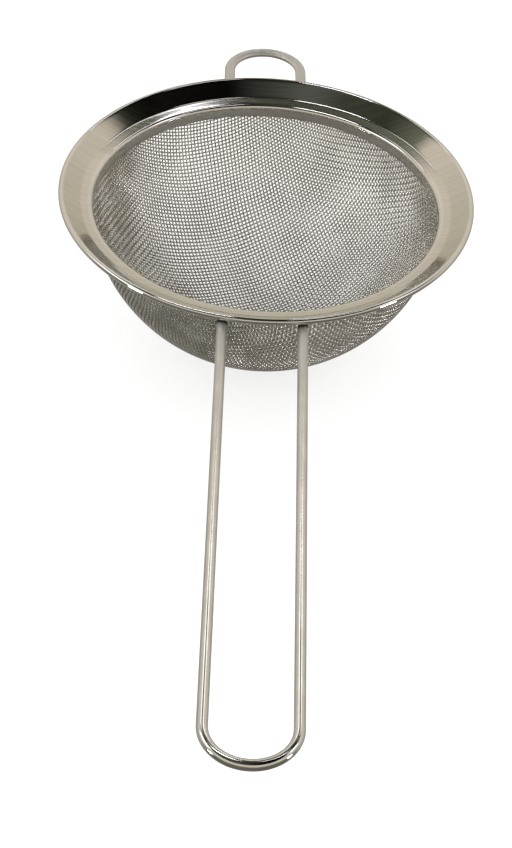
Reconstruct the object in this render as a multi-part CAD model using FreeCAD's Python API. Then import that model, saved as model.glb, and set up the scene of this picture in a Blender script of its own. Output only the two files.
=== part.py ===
import FreeCAD, Part
import math
import os

# A tea strainer: a pressed rim, a woven wire bowl trapped on the rim's collar by a band,
# a long wire handle and a short wire rest.
# Millimetres. +Z is up, the bowl's axis is Z, and the handle runs along -Y.
# z = 0 is the underside of both wires, where the strainer sits on the lip of a cup.

# Driving dimensions of the rim
RIM_RADIUS = 42.5          # outermost point of the curled edge
RIM_TOP = 3.71             # highest point of the curled edge
SHEET = 0.3                # thickness of the pressed sheet
CURL_RADIUS = 0.65         # outer radius of the curled edge
CURL_TURN = 272.0          # degrees that the sheet's edge is rolled under
FLANGE_ANGLE = 35.0        # degrees by which the flange rises towards the edge
FLANGE_FILLET = 1.0        # hollow bend between the flange and the ledge
LEDGE_ANGLE = 9.0          # degrees by which the narrow ledge inside the flange rises outwards
LIP_RADIUS = 0.9           # rounded lip between ledge and collar
LIP_BOTTOM = -0.02         # height at which the lip turns into the upright collar
COLLAR_RADIUS = 35.4       # inner wall of the collar
COLLAR_BOTTOM = -1.9       # lower edge of the collar and of the band

# Driving dimensions of the bowl and its band
CLOTH = 0.5                # thickness of the woven cloth, two wires crossing
CLOTH_TOP = -0.05          # the cloth's cut edge, under the rim
BOWL_RADIUS = 36.56        # outer face of the bowl, a cap of a sphere
BAND = 0.3                 # thickness of the clamp band
BAND_TOP = 0.3             # the band covers the cloth's cut edge

# Driving dimensions of the two wires
LEG_SPACING = 15.6         # between the centres of a loop's two legs
HANDLE_WIRE = (2.0, 2.0)   # width and height of the section
HANDLE_REACH = 150.0       # bowl axis to the centre line of the handle's end
REST_WIRE = (2.3, 1.6)     # the rest's wire is pressed flatter
REST_REACH = 56.8          # bowl axis to the centre line of the rest's end
REST_TURN = 1.2            # degrees by which the rest is welded off the handle's line
WELD_RADIUS = 39.0         # distance from the axis to the middle of the welded run
WELD_END = 37.2            # distance from the axis to the wire's cut end
WELD_GAP = 0.01            # the wire lies against the flange
KNEE_RADIUS = 3.0          # bend between the welded run and the straight leg

COLLAR_OUTER = COLLAR_RADIUS + SHEET
CLOTH_OUTER = COLLAR_OUTER + CLOTH


def on_circle(centre, radius, degrees):
    """The point of a circle in the (radius, height) plane at an angle from the outward direction."""
    turn = math.radians(degrees)
    return (centre[0] + radius * math.cos(turn), centre[1] + radius * math.sin(turn))


def section_point(point):
    """A (radius, height) point as a point of the XZ plane."""
    return FreeCAD.Vector(point[0], 0, point[1])


def line(start, end):
    return Part.LineSegment(section_point(start), section_point(end)).toShape()


def arc(centre, radius, start, end):
    """An arc of a section, between two angles in degrees."""
    middle = 0.5 * (start + end)
    points = [section_point(on_circle(centre, radius, angle)) for angle in (start, middle, end)]
    return Part.Arc(*points).toShape()


def revolve(edges):
    """The solid that a closed section makes when it turns about the bowl's axis."""
    face = Part.Face(Part.Wire(Part.sortEdges(edges)[0]))
    return face.revolve(FreeCAD.Vector(0, 0, 0), FreeCAD.Vector(0, 0, 1), 360)


def rim_layout():
    """Centres of the rim's three curves: lip, fillet and curl."""
    lip = (COLLAR_RADIUS + LIP_RADIUS, LIP_BOTTOM)
    curl = (RIM_RADIUS - CURL_RADIUS, RIM_TOP - CURL_RADIUS)
    # The fillet's centre lies its radius above both the ledge and the flange.
    ledge = math.radians(LEDGE_ANGLE)
    flange = math.radians(FLANGE_ANGLE)
    ledge_height = lip[1] + (LIP_RADIUS + FLANGE_FILLET) / math.cos(ledge)
    flange_height = curl[1] + (CURL_RADIUS + FLANGE_FILLET) / math.cos(flange)
    drop = ledge_height - lip[0] * math.tan(ledge) - flange_height + curl[0] * math.tan(flange)
    radius = drop / (math.tan(flange) - math.tan(ledge))
    fillet = (radius, ledge_height + (radius - lip[0]) * math.tan(ledge))
    return lip, fillet, curl


def rim_surface(depth):
    """The rim's section line at a depth below its visible face, and the line's two ends."""
    lip, fillet, curl = rim_layout()
    lip_radius = LIP_RADIUS - depth
    fillet_radius = FLANGE_FILLET + depth
    curl_radius = CURL_RADIUS - depth
    lip_end = 90 + LEDGE_ANGLE
    curl_start = 90 + FLANGE_ANGLE
    foot = (COLLAR_RADIUS + depth, COLLAR_BOTTOM)
    tip = on_circle(curl, curl_radius, curl_start - CURL_TURN)
    edges = [
        line(foot, on_circle(lip, lip_radius, 180)),
        arc(lip, lip_radius, 180, lip_end),
        line(on_circle(lip, lip_radius, lip_end), on_circle(fillet, fillet_radius, 180 + lip_end)),
        arc(fillet, fillet_radius, 180 + lip_end, 180 + curl_start),
        line(on_circle(fillet, fillet_radius, 180 + curl_start), on_circle(curl, curl_radius, curl_start)),
        arc(curl, curl_radius, curl_start, curl_start - CURL_TURN),
    ]
    return edges, foot, tip


def make_rim():
    """One pressed sheet: collar, rounded lip, narrow ledge, rising flange and curled edge."""
    face_edges, face_foot, face_tip = rim_surface(0)
    back_edges, back_foot, back_tip = rim_surface(SHEET)
    return revolve(face_edges + back_edges + [line(face_foot, back_foot), line(face_tip, back_tip)])


def bowl_centre():
    """The cap's centre. Its inner face leaves the collar's outer face at the collar's lower edge."""
    inner = BOWL_RADIUS - CLOTH
    return (0, COLLAR_BOTTOM + math.sqrt(inner ** 2 - COLLAR_OUTER ** 2))


def bowl_curve(depth):
    """The bowl's section at a depth inside its outer face, and its pole: an upright skirt, then the cap."""
    skirt = CLOTH_OUTER - depth
    radius = BOWL_RADIUS - depth
    start = -math.degrees(math.acos(skirt / radius))
    centre = bowl_centre()
    edges = [line((skirt, CLOTH_TOP), on_circle(centre, radius, start)), arc(centre, radius, start, -90)]
    return edges, (0, centre[1] - radius)


def make_mesh_bowl():
    """The woven cloth as a plain shell of the cloth's thickness."""
    outer, outer_pole = bowl_curve(0)
    inner, inner_pole = bowl_curve(CLOTH)
    cut_edge = line((COLLAR_OUTER, CLOTH_TOP), (CLOTH_OUTER, CLOTH_TOP))
    return revolve(outer + inner + [cut_edge, line(outer_pole, inner_pole)])


def make_clamp_band():
    """A strip closed round the cloth, which holds it on the collar."""
    outer = CLOTH_OUTER + BAND
    corners = [(CLOTH_OUTER, COLLAR_BOTTOM), (outer, COLLAR_BOTTOM), (outer, BAND_TOP), (CLOTH_OUTER, BAND_TOP)]
    return revolve([line(corners[i - 1], corners[i]) for i in range(len(corners))])


def weld_line(width, height):
    """Where a leg's centre line runs under the flange: a point (distance along Y, height) and its slope."""
    curl = rim_layout()[2]
    slope = math.tan(math.radians(FLANGE_ANGLE))
    back = on_circle(curl, CURL_RADIUS - SHEET, 90 + FLANGE_ANGLE)
    underside = back[1] - (back[0] - WELD_RADIUS) * slope
    side = 0.5 * LEG_SPACING
    along = math.sqrt(WELD_RADIUS ** 2 - side ** 2)
    tilt_across = slope * side / WELD_RADIUS
    tilt_along = slope * along / WELD_RADIUS
    stretch = math.sqrt(1 + tilt_across ** 2 + tilt_along ** 2)
    across = 0.5 * width * tilt_across / stretch
    upright = 0.5 * height * math.sqrt(1 + tilt_along ** 2) / stretch
    stand_off = math.hypot(across, upright) + WELD_GAP
    return along, underside - stand_off * stretch, math.atan(tilt_along)


def wire_section(width, height, at, direction):
    """The wire's section as a face across a leg that leaves a point in a direction of the YZ plane."""
    upright = FreeCAD.Vector(0, -direction.z, direction.y)
    if upright.z < 0:
        upright = upright * -1
    sideways = FreeCAD.Vector(1, 0, 0)
    if width == height:
        curve = Part.Circle(at, direction, 0.5 * width)
    else:
        curve = Part.Ellipse(at + sideways * (0.5 * width), at + upright * (0.5 * height), at)
    return Part.Face(Part.Wire(curve.toShape()))


def make_loop(width, height, reach, side):
    """A wire bent into a long U, with cranked ends that lie under the flange. side is -1 or +1 along Y."""
    half = 0.5 * LEG_SPACING
    level = 0.5 * height
    along, weld_height, slope = weld_line(width, height)
    knee = along + (level - weld_height) / math.tan(slope)
    tangent = KNEE_RADIUS * math.tan(0.5 * slope)
    rise = FreeCAD.Vector(0, side * math.cos(slope), math.sin(slope))
    outward = FreeCAD.Vector(0, side, 0)
    end_along = math.sqrt(WELD_END ** 2 - half ** 2)
    knee_axis = FreeCAD.Vector(-side, 0, 0)
    pieces = []
    for x in (-half, half):
        corner = FreeCAD.Vector(x, side * knee, level)
        cut_end = corner - rise * ((knee - end_along) / math.cos(slope))
        knee_start = corner - rise * tangent
        knee_end = corner + outward * tangent
        bend_start = FreeCAD.Vector(x, side * (reach - half), level)
        knee_centre = knee_end - FreeCAD.Vector(0, 0, KNEE_RADIUS)
        pieces.append(wire_section(width, height, cut_end, rise).extrude(knee_start - cut_end))
        knee_face = wire_section(width, height, knee_start, rise)
        pieces.append(knee_face.revolve(knee_centre, knee_axis, math.degrees(slope)))
        pieces.append(wire_section(width, height, knee_end, outward).extrude(bend_start - knee_end))
    bend_face = wire_section(width, height, FreeCAD.Vector(half, side * (reach - half), level), outward)
    bend_centre = FreeCAD.Vector(0, side * (reach - half), 0)
    pieces.append(bend_face.revolve(bend_centre, FreeCAD.Vector(0, 0, side), 180))
    return pieces[0].fuse(pieces[1:]).removeSplitter()


def save(name, shape):
    """Writes one node, after a check that it is a single valid solid."""
    if not shape.isValid() or len(shape.Solids) != 1:
        raise ValueError(name + " is not one valid solid")
    shape.Solids[0].exportStep("parts/" + name + ".step")
    print(name, "volume", round(shape.Volume, 2), "mm3")


os.makedirs("parts", exist_ok=True)
save("rim", make_rim())
save("mesh_bowl", make_mesh_bowl())
save("clamp_band", make_clamp_band())
save("handle_wire", make_loop(*HANDLE_WIRE, HANDLE_REACH, -1))
rest = make_loop(*REST_WIRE, REST_REACH, 1)
rest.rotate(FreeCAD.Vector(0, 0, 0), FreeCAD.Vector(0, 0, 1), REST_TURN)
save("rest_hook", rest)
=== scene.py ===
import math

import bpy
import numpy as np
from mathutils import Euler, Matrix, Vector


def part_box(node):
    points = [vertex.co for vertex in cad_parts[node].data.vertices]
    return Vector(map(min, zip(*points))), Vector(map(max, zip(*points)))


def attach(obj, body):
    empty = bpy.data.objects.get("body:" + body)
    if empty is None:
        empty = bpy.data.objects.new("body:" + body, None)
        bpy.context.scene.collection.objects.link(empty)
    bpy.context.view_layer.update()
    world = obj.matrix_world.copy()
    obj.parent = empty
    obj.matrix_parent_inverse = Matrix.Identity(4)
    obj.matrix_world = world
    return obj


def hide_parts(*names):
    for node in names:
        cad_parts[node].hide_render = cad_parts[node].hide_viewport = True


# The looks of a tea strainer: a pressed steel rim, woven wire cloth, a clamp band and two bent wires.
# Metres and degrees, in the frame of the CAD model. The bowl's axis is Z and the handle runs along -Y.

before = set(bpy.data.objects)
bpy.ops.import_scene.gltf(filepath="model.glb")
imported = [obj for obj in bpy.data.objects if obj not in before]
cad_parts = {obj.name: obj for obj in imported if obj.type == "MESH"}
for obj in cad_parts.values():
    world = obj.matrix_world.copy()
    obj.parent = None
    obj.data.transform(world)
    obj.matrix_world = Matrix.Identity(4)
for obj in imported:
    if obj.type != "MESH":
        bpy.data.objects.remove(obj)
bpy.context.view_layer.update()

MM = 0.001
BODY = "root"

# Rim section, worked outwards from the collar
RIM_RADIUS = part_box("rim")[1].x
RIM_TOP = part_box("rim")[1].z
SHEET = 0.3 * MM
CURL_RADIUS = 0.65 * MM
CURL_TURN = 272.0
FLANGE_ANGLE = 35.0
FLANGE_FILLET = 1.0 * MM
LEDGE_ANGLE = 9.0
LIP_RADIUS = 0.9 * MM
LIP_BOTTOM = -0.02 * MM
COLLAR_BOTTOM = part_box("rim")[0].z

# Cloth and band, worked inwards from the band
BAND = 0.3 * MM
BAND_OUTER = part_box("clamp_band")[1].x
BAND_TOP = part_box("clamp_band")[1].z
CLOTH = 0.5 * MM
CLOTH_OUTER = BAND_OUTER - BAND
COLLAR_OUTER = CLOTH_OUTER - CLOTH
COLLAR_RADIUS = COLLAR_OUTER - SHEET
CLOTH_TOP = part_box("mesh_bowl")[1].z
BOWL_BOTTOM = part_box("mesh_bowl")[0].z
BAND_EDGE = 0.06 * MM
LAP_AT = 58.0
LAP_SPAN = 12.0
LAP_STAND = 0.15 * MM

# Weave
PITCH = 0.775 * MM
CLOTH_WIRE = 0.34 * MM
CRIMP = 0.11 * MM
CLOTH_TURN = 24.0
WEAVE_DRIFT = 0.18 * MM
STEPS_PER_PITCH = 4
CLOTH_WIRE_SIDES = 6
FLAT_CAPS = [(0.02, 0.0)]
BUNDLES = 4

# Wire loops
LEG_SPACING = 15.6 * MM
KNEE_RADIUS = 3.0 * MM
WELD_RADIUS = 39.0 * MM
WELD_END = 37.2 * MM
WELD_GAP = 0.01 * MM
HANDLE_WIRE = (2.0 * MM, 2.0 * MM)
HANDLE_REACH = -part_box("handle_wire")[0].y - 0.5 * HANDLE_WIRE[0]
REST_WIRE = (2.3 * MM, 1.6 * MM)
REST_REACH = 56.8 * MM
REST_TURN = 1.2
# Ends that round off through the given (share of the section, reach past the end)
END_CAPS = [(0.93, 0.04 * MM), (0.80, 0.07 * MM), (0.02, 0.08 * MM)]
LOOP_SIDES = 40

# Points round the bowl's axis, enough for smooth highlights
AROUND = 640

# Tones of the metals, each pair from dark to light
BRUSHED = ((0.72, 0.70, 0.655), (0.79, 0.77, 0.725))
POLISHED = (0.88, 0.87, 0.86)
SMEAR = (0.62, 0.60, 0.56)
SCRATCH = (0.9, 0.89, 0.86)
CLOTH_TONES = ((0.68, 0.67, 0.64), (0.84, 0.83, 0.80))
BAND_TONES = ((0.55, 0.54, 0.50), (0.70, 0.69, 0.65))
WIRE_TONES = ((0.80, 0.79, 0.77), (0.90, 0.89, 0.88))
STRAW_TINT = (0.66, 0.52, 0.33)
BLUE_TINT = (0.33, 0.34, 0.42)
# Painted shade, near black, on the wires where they pass under the rim's curled edge
PAINTED_HEM_SHADE = (0.04, 0.04, 0.05)

# The room in the metal's reflections, whose walls and ceilings are (elevation, colour) stops
UNLIT = (0.004, 0.004, 0.003)
DIM_FLOOR = (0.38, 0.365, 0.335)
FRONT_ROOM = (0.13, 0.125, 0.105)
WARM_WALL = [(-90, DIM_FLOOR), (-4, DIM_FLOOR), (4, (0.535, 0.508, 0.40)), (25, (0.62, 0.572, 0.485)),
             (40.5, (0.715, 0.645, 0.55)), (42, (0.66, 0.60, 0.51))]
LEFT_CEILING = [(45, (0.16, 0.17, 0.125)), (56, (0.035, 0.038, 0.024)), (68, (0.05, 0.055, 0.04)),
                (75, (0.11, 0.115, 0.105)), (80, (0.02, 0.02, 0.015))]
RIGHT_CEILING = [(45.5, (0.09, 0.095, 0.075)), (53, UNLIT), (90, (0.002, 0.002, 0.002))]

# Lamps in the metal's reflections: name, place, size, radiance, and whether it aims at the bowl
LAMP_COLOUR = (0.97, 0.96, 1.0)
METAL_LAMPS = [("side_left", (-0.37, -0.02, 0.287), (0.26, 0.17), 1.1, True),
               ("side_right", (0.354, -0.055, 0.347), (0.16, 0.16), 1.1, True),
               ("high_left", (-0.18, 0.13, 0.74), (0.24, 0.08), 6, False),
               ("high_right", (0.20, 0.13, 0.74), (0.24, 0.08), 2, False),
               ("far_window", (0.066, 0.521, 0.604), (0.05, 0.05), 3, True),
               ("lip_left", (0.225, 0.462, 0.613), (0.18, 0.16), 1.1, True),
               ("lip_right", (-0.225, 0.462, 0.613), (0.18, 0.16), 1.1, True),
               ("low_left", (-0.60, -0.30, -0.04), (0.10, 0.10), 16, True),
               ("low_right", (0.60, -0.30, -0.04), (0.10, 0.10), 16, True)]

# What the camera sees round the strainer
BACKDROP = (1.3, 1.3, 1.3)
FLOOR_RADIUS = 3.0
FLOOR_GAP = 0.02 * MM
FLOOR_TONE = (0.40, 0.40, 0.395)
FLOOR_GLOW = 0.65
CAMERA_PLACE = (-0.00844, -0.38534, 0.27888)
CAMERA_TURN = (48.626, -2.923, 1.163)
CAMERA_LENS = 97.86


# ---------------------------------------------------------------- mesh helpers

def add_mesh(name, vertices, faces):
    """A smooth-shaded mesh from arrays of points and quads."""
    mesh = bpy.data.meshes.new(name)
    vertices = np.asarray(vertices, np.float32)
    faces = np.asarray(faces, np.int32)
    mesh.vertices.add(len(vertices))
    mesh.vertices.foreach_set("co", vertices.ravel())
    mesh.loops.add(faces.size)
    mesh.loops.foreach_set("vertex_index", faces.ravel())
    mesh.polygons.add(len(faces))
    mesh.polygons.foreach_set("loop_start", np.arange(0, faces.size, faces.shape[1], dtype=np.int32))
    mesh.polygons.foreach_set("use_smooth", np.ones(len(faces), bool))
    mesh.update(calc_edges=True)
    mesh.validate()
    return mesh


def add_piece(name, vertices, faces, material, nodes=()):
    """A piece that rides on the body and stands for the named CAD nodes."""
    mesh = add_mesh(name, vertices, faces)
    mesh.materials.append(material)
    piece = bpy.data.objects.new(name, mesh)
    bpy.context.scene.collection.objects.link(piece)
    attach(piece, BODY)
    if nodes:
        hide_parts(*nodes)
    return piece


def unit(vectors):
    """Each row at length one."""
    return vectors / np.linalg.norm(vectors, axis=-1, keepdims=True)


def turned(points, degrees):
    """Points turned about the Z axis."""
    c, s = math.cos(math.radians(degrees)), math.sin(math.radians(degrees))
    return points @ np.array([[c, s, 0], [-s, c, 0], [0, 0, 1]])


def on_circle(centre, radius, degrees):
    """The point of a circle in the (radius, height) plane at an angle from the outward direction."""
    turn = math.radians(degrees)
    return (centre[0] + radius * math.cos(turn), centre[1] + radius * math.sin(turn))


def arc_points(centre, radius, start, end, step=6.0):
    """Points along an arc of a section, both ends included."""
    count = max(2, int(abs(end - start) / step) + 1)
    return [on_circle(centre, radius, angle) for angle in np.linspace(start, end, count)]


def line_points(start, end, count):
    """Evenly spaced points between two section points, both ends left out."""
    shares = np.arange(1, count + 1) / (count + 1)
    return [tuple(point) for point in np.outer(1 - shares, start) + np.outer(shares, end)]


def grid_faces(rings, around, closed=False):
    """Quads between rings of points, each ring closed on itself, and the last to the first if closed."""
    last = rings if closed else rings - 1
    ring, point = np.meshgrid(np.arange(last), np.arange(around), indexing="ij")
    after = (ring + 1) % rings
    beside = (point + 1) % around
    quads = np.stack([ring * around + point, ring * around + beside,
                      after * around + beside, after * around + point], axis=-1)
    return quads.reshape(-1, 4)


def revolved(section, around):
    """The skin that a closed section makes when it turns about the bowl's axis."""
    section = np.array(section)
    turn = np.linspace(0, 2 * math.pi, around, endpoint=False)
    x = np.outer(section[:, 0], np.cos(turn))
    y = np.outer(section[:, 0], np.sin(turn))
    z = np.broadcast_to(section[:, 1:2], x.shape)
    return np.stack([x, y, z], axis=-1), grid_faces(len(section), around, closed=True)


def swept(line, beside, above, across, upright, caps):
    """A tube along a line, with the given half sizes and with ends that shrink through the caps."""
    along = unit(np.cross(above, beside))
    angle = 2 * math.pi * np.arange(len(across)) / len(across)
    ring = (across * np.cos(angle))[None, :, None] * beside[:, None]
    ring = ring + (upright * np.sin(angle))[None, :, None] * above[:, None]
    first = [line[:1, None] + ring[:1] * share - along[:1, None] * reach for share, reach in caps[::-1]]
    last = [line[-1:, None] + ring[-1:] * share + along[-1:, None] * reach for share, reach in caps]
    rings = np.concatenate(first + [line[:, None] + ring] + last)
    return rings.reshape(-1, 3), grid_faces(len(rings), len(across))


# ---------------------------------------------------------------- rim

def rim_layout():
    """Centres of the rim's three curves: lip, fillet and curl."""
    lip = (COLLAR_RADIUS + LIP_RADIUS, LIP_BOTTOM)
    curl = (RIM_RADIUS - CURL_RADIUS, RIM_TOP - CURL_RADIUS)
    # The fillet's centre lies its radius above both the ledge and the flange.
    ledge = math.radians(LEDGE_ANGLE)
    flange = math.radians(FLANGE_ANGLE)
    ledge_height = lip[1] + (LIP_RADIUS + FLANGE_FILLET) / math.cos(ledge)
    flange_height = curl[1] + (CURL_RADIUS + FLANGE_FILLET) / math.cos(flange)
    drop = ledge_height - lip[0] * math.tan(ledge) - flange_height + curl[0] * math.tan(flange)
    radius = drop / (math.tan(flange) - math.tan(ledge))
    fillet = (radius, ledge_height + (radius - lip[0]) * math.tan(ledge))
    return lip, fillet, curl


def rim_line(depth):
    """The rim's section line at a depth below its visible face, from the collar's foot to the curl's tip."""
    lip, fillet, curl = rim_layout()
    lip_end = 90 + LEDGE_ANGLE
    curl_start = 90 + FLANGE_ANGLE
    foot = (COLLAR_RADIUS + depth, COLLAR_BOTTOM)
    rounded = arc_points(lip, LIP_RADIUS - depth, 180, lip_end, 5)
    hollow = arc_points(fillet, FLANGE_FILLET + depth, 180 + lip_end, 180 + curl_start, 3)
    edge = arc_points(curl, CURL_RADIUS - depth, curl_start, curl_start - CURL_TURN, 8)
    collar = [foot] + line_points(foot, rounded[0], 3)
    ledge = line_points(rounded[-1], hollow[0], 3)
    flange = line_points(hollow[-1], edge[0], 6)
    return collar + rounded + ledge + hollow + flange + edge


def make_rim(material):
    """The pressed sheet as one revolved skin, finer than the CAD mesh so that its highlights stay smooth."""
    vertices, faces = revolved(rim_line(0) + rim_line(SHEET)[::-1], AROUND)
    return add_piece("rim_pressed", vertices.reshape(-1, 3), faces, material, ["rim"])


# ---------------------------------------------------------------- woven bowl

def bowl_sphere():
    """Radius and centre height of the cloth's middle surface."""
    # The inner face meets the collar's outer wall at its lower edge, and the outer face has the lowest point.
    drop = COLLAR_BOTTOM - BOWL_BOTTOM - CLOTH
    inner = 0.5 * (drop ** 2 + COLLAR_OUTER ** 2) / drop
    return inner + 0.5 * CLOTH, BOWL_BOTTOM + CLOTH + inner


def pressed_net(radius, reach):
    """Crossings of a square cloth pressed on a sphere, as unit vectors for one quadrant about the pole."""
    # Each crossing keeps one pitch from the two before it, so squares turn into rhombs towards the diagonals.
    step = PITCH / radius
    count = int(reach / PITCH) + 3
    net = np.zeros((count, count, 3))
    for k in range(count):
        net[k, 0] = (math.sin(k * step), 0, -math.cos(k * step))
        net[0, k] = (0, math.sin(k * step), -math.cos(k * step))
    for i in range(1, count):
        for j in range(1, count):
            left, right = net[i - 1, j], net[i, j - 1]
            share = 2 * math.cos(step) / (1 + left @ right)
            net[i, j] = unit(share * (left + right) - net[i - 1, j - 1])
    return net


def full_net(quadrant):
    """The four mirrored quadrants as one grid, with the pole in its middle."""
    index = np.arange(-len(quadrant) + 1, len(quadrant))
    grid = quadrant[np.abs(index)[:, None], np.abs(index)[None, :]].copy()
    side = np.where(index < 0, -1, 1)
    grid[..., 0] *= side[:, None]
    grid[..., 1] *= side[None, :]
    return turned(grid, CLOTH_TURN)


def strained(grid, radius):
    """Small slow shifts of the crossings, as the pressed cloth never lies quite evenly."""
    x, y, z = np.moveaxis(grid, -1, 0) * radius / MM
    slow = np.sin(0.31 * x + 0.7) * np.cos(0.27 * y - 0.4) + 0.6 * np.sin(0.52 * (y - z) + 1.9)
    slower = np.cos(0.24 * x - 1.1) * np.sin(0.33 * y + 0.9) + 0.6 * np.cos(0.47 * (x + z) + 0.3)
    shift = np.stack([slow, slower, 0 * slow], axis=-1)
    return unit(grid + WEAVE_DRIFT / radius * shift)


def lay_on_bowl(grid, radius, centre):
    """Places and outward normals of the crossings: on the cap, then upright between collar and band."""
    polar = np.arccos(np.clip(-grid[..., 2], -1, 1))
    flat = np.maximum(np.hypot(grid[..., 0], grid[..., 1]), 1e-9)
    outward = np.stack([grid[..., 0] / flat, grid[..., 1] / flat, 0 * flat], axis=-1)
    skirt_polar = math.acos((centre - COLLAR_BOTTOM) / radius)
    past = (polar - skirt_polar) * radius
    upright = outward * 0.5 * (COLLAR_OUTER + CLOTH_OUTER)
    upright[..., 2] = COLLAR_BOTTOM + past
    on_skirt = (past > 0)[..., None]
    place = np.where(on_skirt, upright, radius * grid + np.array([0, 0, centre]))
    inside = past < CLOTH_TOP - COLLAR_BOTTOM - 0.5 * CLOTH_WIRE
    return place, np.where(on_skirt, outward, grid), inside


def cloth_wire(places, normals, first_side):
    """One crimped wire that passes over and under at alternate crossings, with flat ends."""
    crossings = len(places)
    steps = np.arange((crossings - 1) * STEPS_PER_PITCH + 1) / STEPS_PER_PITCH
    before = np.minimum(steps.astype(int), crossings - 2)
    share = (steps - before)[:, None]
    base = places[before] * (1 - share) + places[before + 1] * share
    normal = unit(normals[before] * (1 - share) + normals[before + 1] * share)
    line = base + (CRIMP * first_side * np.cos(math.pi * steps))[:, None] * normal
    along = unit(np.gradient(line, axis=0))
    beside = unit(np.cross(along, normal))
    half = np.full(CLOTH_WIRE_SIDES, 0.5 * CLOTH_WIRE)
    return swept(line, beside, np.cross(beside, along), half, half, FLAT_CAPS)


def weave_family(place, normal, inside, over):
    """All the wires that run along the grid's second direction."""
    wires = []
    for row in range(len(place)):
        kept = np.flatnonzero(inside[row])
        if len(kept) > 2:
            side = over if (row + kept[0]) % 2 == 0 else -over
            wires.append(cloth_wire(place[row, kept], normal[row, kept], side))
    return wires


def add_bundles(name, wires, material):
    """Joins a family's wires into neighbouring bundles with about the same number of faces."""
    sizes = np.cumsum([len(faces) for _, faces in wires])
    bundle = (sizes - 1) * BUNDLES // sizes[-1]
    pieces = []
    for index in range(BUNDLES):
        chosen = [wires[k] for k in np.flatnonzero(bundle == index)]
        offsets = np.cumsum([0] + [len(vertices) for vertices, _ in chosen[:-1]])
        vertices = np.concatenate([vertices for vertices, _ in chosen])
        faces = np.concatenate([faces + offset for (_, faces), offset in zip(chosen, offsets)])
        pieces.append(add_piece(f"{name}_{index + 1}", vertices, faces, material))
    return pieces


def make_cloth(material):
    """Plain weave: warp and weft wires pressed together into the bowl's shape."""
    radius, centre = bowl_sphere()
    net = pressed_net(radius, radius * math.pi / 2 + CLOTH_TOP - COLLAR_BOTTOM)
    place, normal, inside = lay_on_bowl(strained(full_net(net), radius), radius, centre)
    weft = weave_family(place, normal, inside, 1)
    warp = weave_family(place.swapaxes(0, 1), normal.swapaxes(0, 1), inside.T, -1)
    pieces = add_bundles("cloth_weft", weft, material) + add_bundles("cloth_warp", warp, material)
    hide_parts("mesh_bowl")
    return pieces


# ---------------------------------------------------------------- clamp band

def make_band(material):
    """The strip round the cloth, with rounded edges and one end lapped over the other."""
    inner, outer = CLOTH_OUTER + BAND_EDGE, BAND_OUTER - BAND_EDGE
    bottom, top = COLLAR_BOTTOM + BAND_EDGE, BAND_TOP - BAND_EDGE
    corners = [((outer, top), 90), ((outer, bottom), 0), ((inner, bottom), -90), ((inner, top), -180)]
    section = []
    for centre, start in corners:
        section += arc_points(centre, BAND_EDGE, start, start - 90, 30)
    vertices, faces = revolved(section, AROUND)
    # The lap stands out by its own thickness, steep at the strip's end and easing away from it.
    turn = np.degrees(np.arctan2(vertices[..., 1], vertices[..., 0])) - LAP_AT
    lap = LAP_STAND * np.clip(turn / 0.5, 0, 1) * np.clip((LAP_SPAN - turn) / 3, 0, 1)
    on_outside = np.hypot(vertices[..., 0], vertices[..., 1]) > BAND_OUTER - 0.5 * BAND
    stretch = 1 + np.where(on_outside, lap, 0) / BAND_OUTER
    vertices[..., :2] *= stretch[..., None]
    return add_piece("band_strip", vertices.reshape(-1, 3), faces, material, ["clamp_band"])


# ---------------------------------------------------------------- wire loops

def weld_line(width, height):
    """Where a leg's centre line runs under the flange: a point (distance along Y, height) and its slope."""
    curl = rim_layout()[2]
    slope = math.tan(math.radians(FLANGE_ANGLE))
    back = on_circle(curl, CURL_RADIUS - SHEET, 90 + FLANGE_ANGLE)
    underside = back[1] - (back[0] - WELD_RADIUS) * slope
    side = 0.5 * LEG_SPACING
    along = math.sqrt(WELD_RADIUS ** 2 - side ** 2)
    tilt_across = slope * side / WELD_RADIUS
    tilt_along = slope * along / WELD_RADIUS
    stretch = math.sqrt(1 + tilt_across ** 2 + tilt_along ** 2)
    across = 0.5 * width * tilt_across / stretch
    upright = 0.5 * height * math.sqrt(1 + tilt_along ** 2) / stretch
    stand_off = math.hypot(across, upright) + WELD_GAP
    return along, underside - stand_off * stretch, math.atan(tilt_along)


def loop_line(width, height, reach):
    """Centre line of a loop that runs along +Y: cut end, crank, leg, bend, leg, crank, cut end."""
    half = 0.5 * LEG_SPACING
    level = 0.5 * height
    along, weld_height, slope = weld_line(width, height)
    knee = along + (level - weld_height) / math.tan(slope)
    tangent = KNEE_RADIUS * math.tan(0.5 * slope)
    knee_start = knee - tangent * math.cos(slope)
    end_along = math.sqrt(WELD_END ** 2 - half ** 2)
    leg = [(y, level - math.tan(slope) * (knee - y)) for y in np.linspace(end_along, knee_start, 24)]
    leg += arc_points((knee + tangent, level - KNEE_RADIUS), KNEE_RADIUS, 90 + math.degrees(slope), 90, 4)[1:]
    bend_start = reach - half
    straight = max(2, int((bend_start - knee - tangent) / (1.5 * MM)))
    leg += [(y, level) for y in np.linspace(knee + tangent, bend_start, straight)[1:]]
    left = [(-half, y, z) for y, z in leg]
    bend = [(x, y, level) for x, y in arc_points((0, bend_start), half, 180, 0, 4)[1:-1]]
    right = [(half, y, z) for y, z in leg[::-1]]
    return np.array(left + bend + right)


def make_loop(name, width, height, reach, turn, material, node):
    """A drawn wire swept along its loop, with sheared ends whose edges are rounded."""
    line = loop_line(width, height, reach)
    along = unit(np.gradient(line, axis=0))
    beside = unit(np.cross(along, (0, 0, 1)))
    above = np.cross(beside, along)
    across = np.full(LOOP_SIDES, 0.5 * width)
    upright = np.full(LOOP_SIDES, 0.5 * height)
    vertices, faces = swept(line, beside, above, across, upright, END_CAPS)
    return add_piece(name, turned(vertices, turn), faces, material, [node])


# ---------------------------------------------------------------- materials

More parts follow.
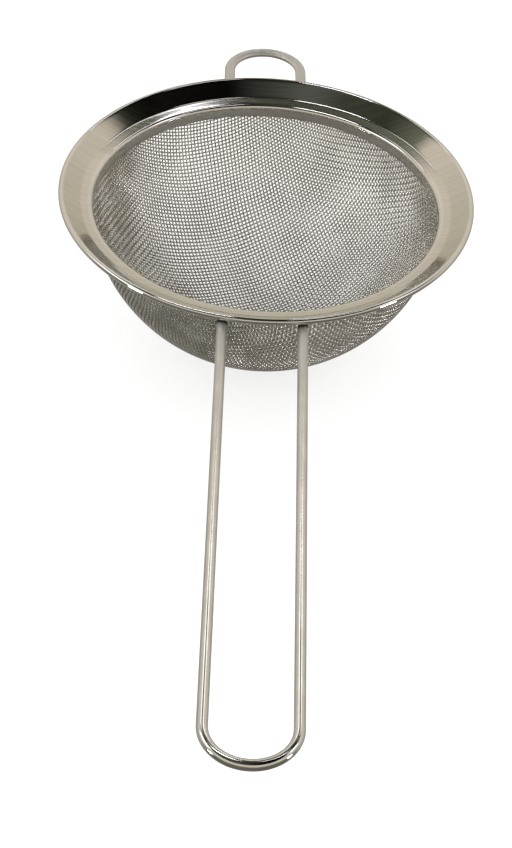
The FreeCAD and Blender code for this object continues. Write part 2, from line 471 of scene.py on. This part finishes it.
def add_node(tree, kind, values=None, **settings):
    """A shader node with its settings and the values of its unlinked sockets."""
    node = tree.nodes.new("ShaderNode" + kind)
    for name, value in settings.items():
        setattr(node, name, value)
    for name, value in (values or {}).items():
        node.inputs[name].default_value = value
    return node


def math_node(tree, operation, first, second):
    """A math node on two sockets or numbers."""
    node = add_node(tree, "Math", operation=operation)
    for socket, value in zip(node.inputs, (first, second)):
        if isinstance(value, (int, float)):
            socket.default_value = value
        else:
            tree.links.new(value, socket)
    return node.outputs["Value"]


def stretched_noise(tree, scale, detail=3.0, spin=0.0):
    """Noise with its own scale along each axis of the object, per metre, turned about Z."""
    place = add_node(tree, "TexCoord")
    stretch = add_node(tree, "Mapping", {"Scale": scale, "Rotation": (0, 0, math.radians(spin))})
    noise = add_node(tree, "TexNoise", {"Scale": 1.0, "Detail": detail})
    tree.links.new(place.outputs["Object"], stretch.inputs["Vector"])
    tree.links.new(stretch.outputs["Vector"], noise.inputs["Vector"])
    return noise.outputs["Fac"]


def ranged(tree, value, start, end, low, high):
    """A value mapped smoothly from one range to another, and held there."""
    node = add_node(tree, "MapRange", interpolation_type="SMOOTHSTEP")
    for name, number in (("From Min", start), ("From Max", end), ("To Min", low), ("To Max", high)):
        node.inputs[name].default_value = number
    tree.links.new(value, node.inputs["Value"])
    return node.outputs["Result"]


def mixed(tree, factor, first, second):
    """Two colours, each a socket or three numbers, mixed by a socket."""
    node = add_node(tree, "Mix", data_type="RGBA")
    tree.links.new(factor, node.inputs["Factor"])
    # Its colour sockets share their names with its other sockets, so they are picked by their places.
    for socket, colour in zip(node.inputs[6:8], (first, second)):
        if isinstance(colour, tuple):
            socket.default_value = (*colour, 1)
        else:
            tree.links.new(colour, socket)
    return node.outputs[2]


def axis_distance(tree):
    """Distance from the bowl's axis."""
    place = add_node(tree, "TexCoord")
    flatten = add_node(tree, "VectorMath", operation="MULTIPLY")
    flatten.inputs[1].default_value = (1, 1, 0)
    length = add_node(tree, "VectorMath", operation="LENGTH")
    tree.links.new(place.outputs["Object"], flatten.inputs[0])
    tree.links.new(flatten.outputs["Vector"], length.inputs[0])
    return length.outputs["Value"]


def height_above_wires(tree):
    """Height above the plane of the wires' undersides."""
    place = add_node(tree, "TexCoord")
    split = add_node(tree, "SeparateXYZ")
    tree.links.new(place.outputs["Object"], split.inputs["Vector"])
    return split.outputs["Z"]


def metal_base(name):
    """A metal material with its node tree and its shader."""
    material = bpy.data.materials.new(name)
    material.use_nodes = True
    tree = material.node_tree
    shader = tree.nodes["Principled BSDF"]
    shader.inputs["Metallic"].default_value = 1.0
    return material, tree, shader


def finish_metal(tree, shader, colour, roughness, height, depth):
    """Links a metal's colour and roughness, and its height as a bump of the given depth."""
    bump = add_node(tree, "Bump", {"Strength": 1.0, "Distance": depth})
    tree.links.new(height, bump.inputs["Height"])
    tree.links.new(colour, shader.inputs["Base Color"])
    tree.links.new(roughness, shader.inputs["Roughness"])
    tree.links.new(bump.outputs["Normal"], shader.inputs["Normal"])


def pressed_steel():
    """Sheet brushed along X before pressing, polished along its lip and its curled edge, a little smeared."""
    material, tree, shader = metal_base("pressed_steel")
    brushing = stretched_noise(tree, (16, 3000, 16), 4.0)
    smears = stretched_noise(tree, (70, 110, 110), 4.0)
    scratches = stretched_noise(tree, (120, 3500, 120), 2.0, spin=68)
    radius = axis_distance(tree)
    on_curl = ranged(tree, radius, RIM_RADIUS - 1.2 * MM, RIM_RADIUS - 0.9 * MM, 0, 1)
    on_lip = ranged(tree, radius, COLLAR_RADIUS + 0.7 * MM, COLLAR_RADIUS + 1.5 * MM, 1, 0)
    polish = math_node(tree, "MAXIMUM", on_curl, on_lip)
    grained = mixed(tree, ranged(tree, brushing, 0.35, 0.65, 0, 1), *BRUSHED)
    tone = mixed(tree, math_node(tree, "MULTIPLY", polish, 0.7), grained, POLISHED)
    smeared = mixed(tree, ranged(tree, smears, 0.52, 0.72, 0, 0.18), tone, SMEAR)
    scratched = mixed(tree, ranged(tree, scratches, 0.72, 0.78, 0, 0.5), smeared, SCRATCH)
    brushed = ranged(tree, brushing, 0.3, 0.7, 0.06, 0.10)
    cloudy = math_node(tree, "ADD", brushed, ranged(tree, smears, 0.5, 0.75, 0, 0.02))
    shiny = math_node(tree, "SUBTRACT", cloudy, math_node(tree, "MULTIPLY", polish, 0.03))
    # The collar is duller than the rest, and the polished parts have hardly any grain left.
    collar = ranged(tree, height_above_wires(tree), LIP_BOTTOM - 0.3 * MM, LIP_BOTTOM + 0.1 * MM, 0.3, 0)
    roughness = math_node(tree, "ADD", shiny, collar)
    grain = math_node(tree, "MULTIPLY", brushing, math_node(tree, "SUBTRACT", 1.1, polish))
    finish_metal(tree, shader, scratched, roughness, grain, 0.003 * MM)
    return material


def woven_wire():
    """Bright fine wire, with slow changes of tone over the cloth and a fine drawn grain."""
    material, tree, shader = metal_base("woven_wire")
    patches = stretched_noise(tree, (130, 130, 130), 4.0)
    grain = stretched_noise(tree, (2600, 2600, 2600), 2.0)
    tone = mixed(tree, ranged(tree, patches, 0.35, 0.65, 0, 1), *CLOTH_TONES)
    roughness = ranged(tree, grain, 0.3, 0.7, 0.08, 0.16)
    finish_metal(tree, shader, tone, roughness, grain, 0.002 * MM)
    return material


def band_steel():
    """Dull strip, grained round the bowl."""
    material, tree, shader = metal_base("band_steel")
    grain = stretched_noise(tree, (350, 350, 3200), 3.0)
    patches = stretched_noise(tree, (160, 160, 160), 3.0)
    tone = mixed(tree, ranged(tree, patches, 0.35, 0.65, 0, 1), *BAND_TONES)
    roughness = ranged(tree, grain, 0.3, 0.7, 0.22, 0.36)
    finish_metal(tree, shader, tone, roughness, grain, 0.004 * MM)
    return material


def drawn_wire():
    """Wire drawn along Y, polished, with the tints of its welds and painted shade where it passes under the
    rim's edge.
    """
    material, tree, shader = metal_base("drawn_wire")
    grain = stretched_noise(tree, (2600, 90, 2600), 3.0)
    wear = stretched_noise(tree, (500, 140, 500), 4.0)
    tone = mixed(tree, ranged(tree, wear, 0.35, 0.7, 0, 1), *WIRE_TONES)
    radius = axis_distance(tree)
    heat = ranged(tree, radius, WELD_RADIUS - 0.4 * MM, WELD_RADIUS + 2.6 * MM, 1, 0)
    straw = mixed(tree, ranged(tree, heat, 0.05, 0.55, 0, 1), tone, STRAW_TINT)
    tinted = mixed(tree, ranged(tree, heat, 0.55, 1.0, 0, 1), straw, BLUE_TINT)
    # Painted shade: the wire turns near black just where it passes under the rim's curled edge, where the hem
    # would shade it.
    hem_shade_mask = ranged(tree, radius, RIM_RADIUS - 0.7 * MM, RIM_RADIUS, 0.9, 0)
    shaded_by_hem = mixed(tree, hem_shade_mask, tinted, PAINTED_HEM_SHADE)
    gloss = ranged(tree, grain, 0.3, 0.7, 0.08, 0.16)
    # The legs are dull beside the rim and polished by use towards the bend.
    dull = ranged(tree, radius, RIM_RADIUS, RIM_RADIUS + 50 * MM, 0.4, 0)
    roughness = math_node(tree, "ADD", gloss, dull)
    finish_metal(tree, shader, shaded_by_hem, roughness, grain, 0.003 * MM)
    return material


# ---------------------------------------------------------------- studio

def make_floor():
    """A plain pale disc under the bowl, whose glow keeps the shadow faint. The metal doesn't reflect it."""
    turn = np.linspace(0, 2 * math.pi, 96, endpoint=False)
    height = BOWL_BOTTOM - FLOOR_GAP
    mesh = bpy.data.meshes.new("floor")
    edge = [(FLOOR_RADIUS * math.cos(a), FLOOR_RADIUS * math.sin(a), height) for a in turn]
    mesh.from_pydata(edge, [], [range(len(turn))])
    floor = bpy.data.objects.new("floor", mesh)
    bpy.context.scene.collection.objects.link(floor)
    floor.visible_glossy = False
    material = bpy.data.materials.new("pale_floor")
    material.use_nodes = True
    shader = material.node_tree.nodes["Principled BSDF"]
    shader.inputs["Base Color"].default_value = (*FLOOR_TONE, 1)
    shader.inputs["Roughness"].default_value = 0.9
    shader.inputs["Specular IOR Level"].default_value = 0.0
    shader.inputs["Emission Color"].default_value = (1, 1, 1, 1)
    shader.inputs["Emission Strength"].default_value = FLOOR_GLOW
    material.cycles.emission_sampling = "NONE"
    mesh.materials.append(material)


def colour_ramp(tree, stops, value):
    """A ramp of (elevation in degrees, colour) stops over a height that runs from 0 below to 1 above."""
    node = add_node(tree, "ValToRGB")
    elements = node.color_ramp.elements
    while len(elements) < len(stops):
        elements.new(0.5)
    for element, (elevation, colour) in zip(elements, stops):
        element.position = 0.5 + 0.5 * math.sin(math.radians(elevation))
        element.color = (*colour, 1)
    tree.links.new(value, node.inputs["Fac"])
    return node.outputs["Color"]


def make_world():
    """A white backdrop and, for the metal alone, a room of warm walls, dark ceilings and a dim floor."""
    world = bpy.data.worlds.new("studio")
    bpy.context.scene.world = world
    world.use_nodes = True
    tree = world.node_tree
    direction = add_node(tree, "TexCoord")
    split = add_node(tree, "SeparateXYZ")
    tree.links.new(direction.outputs["Generated"], split.inputs["Vector"])
    x, y, z = split.outputs
    height = math_node(tree, "ADD", math_node(tree, "MULTIPLY", z, 0.5), 0.5)
    left = colour_ramp(tree, WARM_WALL + LEFT_CEILING, height)
    right = colour_ramp(tree, WARM_WALL + RIGHT_CEILING, height)
    sides = mixed(tree, ranged(tree, x, -0.12, 0.25, 0, 1), left, right)
    # The upper right is unlit, and so is nearly all of the wall behind the camera.
    fading = math_node(tree, "MULTIPLY", ranged(tree, z, 0.58, 0.82, 0, 1), ranged(tree, x, 0.35, 0.6, 0, 1))
    faded = mixed(tree, fading, sides, UNLIT)
    front = math_node(tree, "MULTIPLY", ranged(tree, y, -0.2, 0.3, 1, 0), ranged(tree, z, 0.0, 0.3, 1, 0))
    room = mixed(tree, front, faded, FRONT_ROOM)
    rays = add_node(tree, "LightPath")
    seen = mixed(tree, rays.outputs["Is Glossy Ray"], BACKDROP, room)
    tree.links.new(seen, tree.nodes["Background"].inputs["Color"])
    world.cycles.sampling_method = "NONE"


def add_softbox(name, place, size, radiance, aimed, diffuse=False):
    """A lamp for the metal, or for the floor if diffuse, which aims at the bowl or straight down."""
    data = bpy.data.lights.new(name, "AREA")
    data.shape = "RECTANGLE"
    data.size, data.size_y = size
    data.energy = radiance * math.pi * size[0] * size[1]
    data.color = LAMP_COLOUR
    lamp = bpy.data.objects.new(name, data)
    bpy.context.scene.collection.objects.link(lamp)
    lamp.location = place
    if aimed:
        lamp.rotation_euler = (-Vector(place)).to_track_quat("-Z", "Y").to_euler()
    lamp.visible_glossy = not diffuse
    lamp.visible_diffuse = diffuse


def make_camera():
    """A camera at the photo's viewing angle, with the default sensor's 36 mm along the frame's height."""
    data = bpy.data.cameras.new("camera")
    data.lens = CAMERA_LENS
    data.sensor_width = 36.0
    data.clip_start = 0.01
    data.clip_end = 50
    camera = bpy.data.objects.new("camera", data)
    camera.location = CAMERA_PLACE
    camera.rotation_euler = Euler([math.radians(angle) for angle in CAMERA_TURN])
    bpy.context.scene.collection.objects.link(camera)
    bpy.context.scene.camera = camera


make_rim(pressed_steel())
make_cloth(woven_wire())
make_band(band_steel())
loop_steel = drawn_wire()
make_loop("handle_loop", *HANDLE_WIRE, HANDLE_REACH, 180, loop_steel, "handle_wire")
make_loop("rest_loop", *REST_WIRE, REST_REACH, REST_TURN, loop_steel, "rest_hook")
make_floor()
make_world()
add_softbox("floor_light", (0, -0.2, 1.6), (1.8, 1.8), 0.8, True, diffuse=True)
for lamp_values in METAL_LAMPS:
    add_softbox(*lamp_values)
make_camera()
bpy.context.scene.view_settings.view_transform = "Standard"
